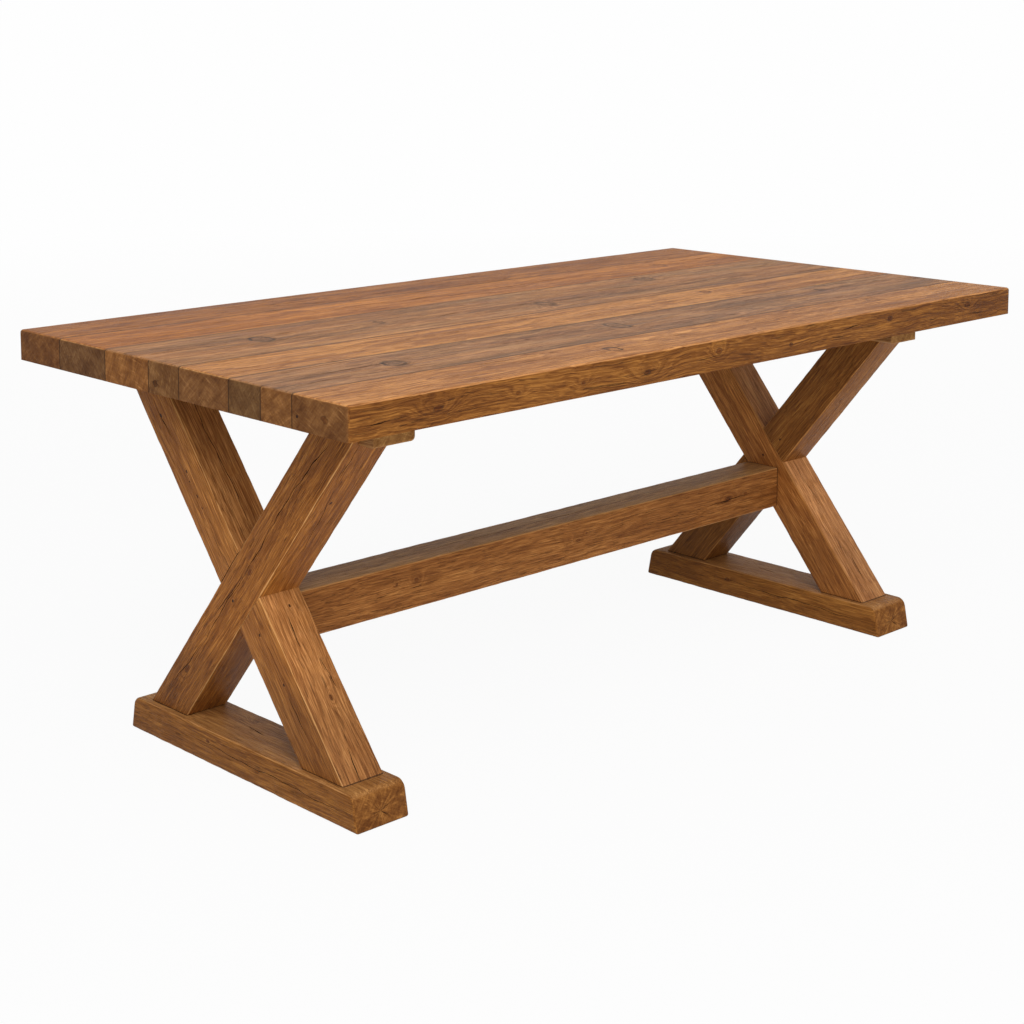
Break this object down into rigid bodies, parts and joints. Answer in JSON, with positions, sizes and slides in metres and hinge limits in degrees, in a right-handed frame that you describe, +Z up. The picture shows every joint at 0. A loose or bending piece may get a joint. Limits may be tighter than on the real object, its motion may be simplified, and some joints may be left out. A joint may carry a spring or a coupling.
{
  "type": "sawbuck table",
  "caption": "Rustic trestle dining table: thick plank top on two X-shaped cross frames with foot beams, joined by a low stretcher.",
  "frame": {"origin": "on the floor, under the middle of the top", "axes": "+X along the table, +Y towards the back long side, +Z up"},
  "size_m": [1.83, 0.965, 0.762],
  "materials": {
    "top_wood": "brown stained, open grain, low sheen",
    "frame_wood": "brown stained, sawn and eased, low sheen",
    "tongue_wood": "bare, planed",
    "zinc_steel": "zinc plated"
  },
  "bodies": {
    "root": {"top_stave_1": "top_wood", "top_stave_2": "top_wood", "top_stave_3": "top_wood", "top_stave_4": "top_wood", "top_stave_5": "top_wood", "top_stave_6": "top_wood", "top_stave_7": "top_wood", "top_stave_8": "top_wood", "top_tongues": "tongue_wood", "left_leg_front_head": "frame_wood", "left_leg_back_head": "frame_wood", "left_foot_beam": "frame_wood", "left_cleat": "frame_wood", "right_leg_front_head": "frame_wood", "right_leg_back_head": "frame_wood", "right_foot_beam": "frame_wood", "right_cleat": "frame_wood", "stretcher": "frame_wood", "cleat_screws": "zinc_steel", "cleat_washers": "zinc_steel", "stretcher_bolts": "zinc_steel", "stretcher_washers": "zinc_steel", "stretcher_nuts": "zinc_steel"}
  },
  "joints": []
}
